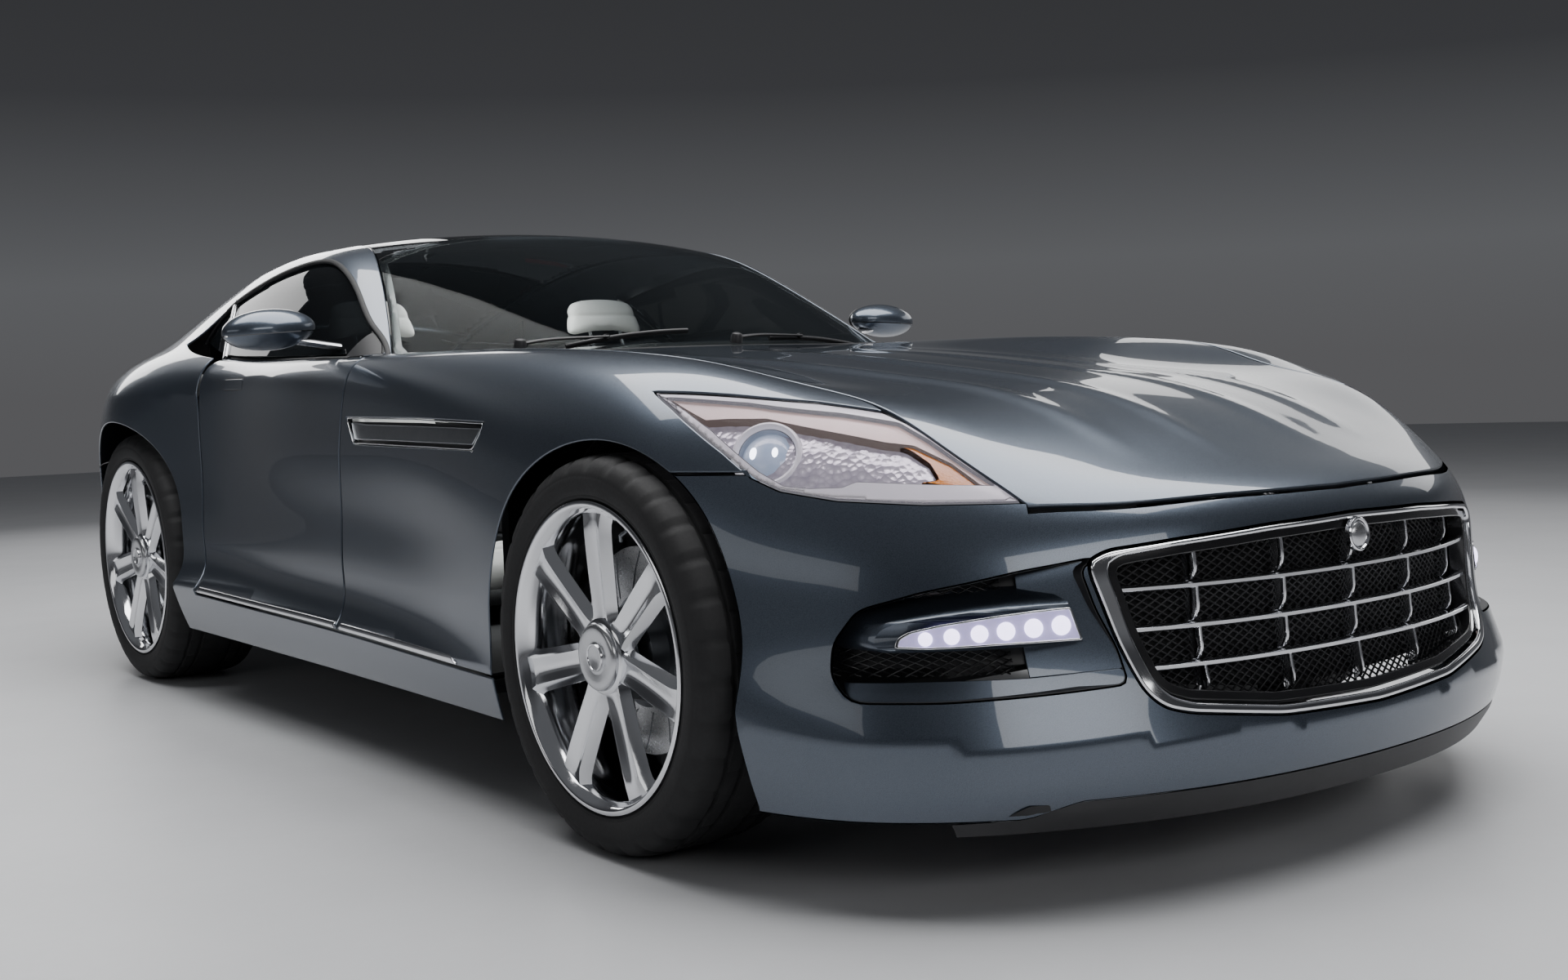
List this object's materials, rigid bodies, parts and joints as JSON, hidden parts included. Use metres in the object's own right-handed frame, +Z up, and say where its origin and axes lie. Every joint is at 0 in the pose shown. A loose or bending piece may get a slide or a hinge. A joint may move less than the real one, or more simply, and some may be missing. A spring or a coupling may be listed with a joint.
{
  "type": "coupe car",
  "caption": "Low two-door coupe with long hood, fastback cabin, opening doors, hood and boot lid, steered front wheels and four turning wheels.",
  "frame": {"origin": "on the ground, under the middle of the car's overall length and width", "axes": "+Z up, -Y towards the front of the car, +X towards its left side"},
  "size_m": [2.032, 4.3674, 1.2164],
  "materials": {
    "painted": "metallic clear coat",
    "chrome": "polished",
    "liner_black": "textured",
    "black_trim": "satin",
    "lamp_clear": "clear",
    "lamp_red": "clear",
    "glass": "clear",
    "glass_dark": "tinted",
    "roof_glass": "black",
    "interior_dark": "grained",
    "interior_leather": "grained",
    "seat_leather": "grained",
    "engine_metal": "as cast",
    "chassis_black": "satin",
    "cast_grey": "as cast",
    "wheel_metal": "polished",
    "tyre": "matte"
  },
  "bodies": {
    "body": {"underbody": "chassis_black", "left_body_side": "painted", "right_body_side": "painted", "left_fender": "painted", "right_fender": "painted", "front_bumper": "painted", "grille": "chrome", "fender_vents": "black_trim", "front_splitter": "black_trim", "headlights": "lamp_clear", "daytime_lamps": "lamp_clear", "cowl_panel": "black_trim", "windshield": "glass", "roof_panel": "roof_glass", "rear_window": "glass_dark", "quarter_windows": "glass_dark", "rear_bumper": "painted", "tail_lights": "lamp_red", "exhaust_tips": "chrome", "wipers": "black_trim", "dashboard": "interior_dark", "seats": "seat_leather", "engine_block": "engine_metal", "front_subframe": "chassis_black", "rear_subframe": "chassis_black", "arch_liners": "liner_black"},
    "hood": {"hood": "painted"},
    "boot_lid": {"trunk_lid": "painted"},
    "left_door": {"left_door": "painted", "left_door_glass": "glass_dark", "left_mirror": "painted"},
    "right_door": {"right_door": "painted", "right_door_glass": "glass_dark", "right_mirror": "painted"},
    "steering_wheel": {"steering_wheel": "interior_leather"},
    "left_knuckle": {"left_knuckle": "cast_grey"},
    "right_knuckle": {"right_knuckle": "cast_grey"},
    "front_left_wheel": {"front_left_wheel": "wheel_metal", "front_left_tyre": "tyre"},
    "front_right_wheel": {"front_right_wheel": "wheel_metal", "front_right_tyre": "tyre"},
    "rear_left_wheel": {"rear_left_wheel": "wheel_metal", "rear_left_tyre": "tyre"},
    "rear_right_wheel": {"rear_right_wheel": "wheel_metal", "rear_right_tyre": "tyre"}
  },
  "joints": [
    {"name": "hood_hinge", "type": "hinge", "parent": "body", "child": "hood", "pos_m": [0, -0.296, 0.876], "axis": [-1, 0, 0], "range_deg": [0, 50]},
    {"name": "boot_lid_hinge", "type": "hinge", "parent": "body", "child": "boot_lid", "pos_m": [0, 1.728, 0.994], "axis": [1, 0, 0], "range_deg": [0, 60]},
    {"name": "left_door_hinge", "type": "hinge", "parent": "body", "child": "left_door", "pos_m": [0.828, -0.122, 0.55], "axis": [0, 0, -1], "range_deg": [0, 65]},
    {"name": "right_door_hinge", "type": "hinge", "parent": "body", "child": "right_door", "pos_m": [-0.828, -0.122, 0.55], "axis": [0, 0, 1], "range_deg": [0, 65]},
    {"name": "left_steer", "type": "hinge", "parent": "body", "child": "left_knuckle", "pos_m": [0.745, -1.29, 0.338], "axis": [0, 0, 1], "range_deg": [-30, 30]},
    {"name": "right_steer", "type": "hinge", "parent": "body", "child": "right_knuckle", "pos_m": [-0.745, -1.29, 0.338], "axis": [0, 0, 1], "range_deg": [-30, 30]},
    {"name": "steering_wheel_turn", "type": "hinge", "parent": "body", "child": "steering_wheel", "pos_m": [0.37, -0.075, 0.69], "axis": [0, 0.9272, 0.3746], "range_deg": [-450, 450]},
    {"name": "front_left_spin", "type": "hinge", "parent": "left_knuckle", "child": "front_left_wheel", "pos_m": [0.79, -1.29, 0.338], "axis": [1, 0, 0], "continuous": true},
    {"name": "front_right_spin", "type": "hinge", "parent": "right_knuckle", "child": "front_right_wheel", "pos_m": [-0.79, -1.29, 0.338], "axis": [1, 0, 0], "continuous": true},
    {"name": "rear_left_spin", "type": "hinge", "parent": "body", "child": "rear_left_wheel", "pos_m": [0.76, 1.22, 0.348], "axis": [1, 0, 0], "continuous": true},
    {"name": "rear_right_spin", "type": "hinge", "parent": "body", "child": "rear_right_wheel", "pos_m": [-0.76, 1.22, 0.348], "axis": [1, 0, 0], "continuous": true}
  ],
  "couplings": [
    {"joint": "right_steer", "follows": "left_steer", "ratio": 1},
    {"joint": "steering_wheel_turn", "follows": "left_steer", "ratio": 15}
  ]
}
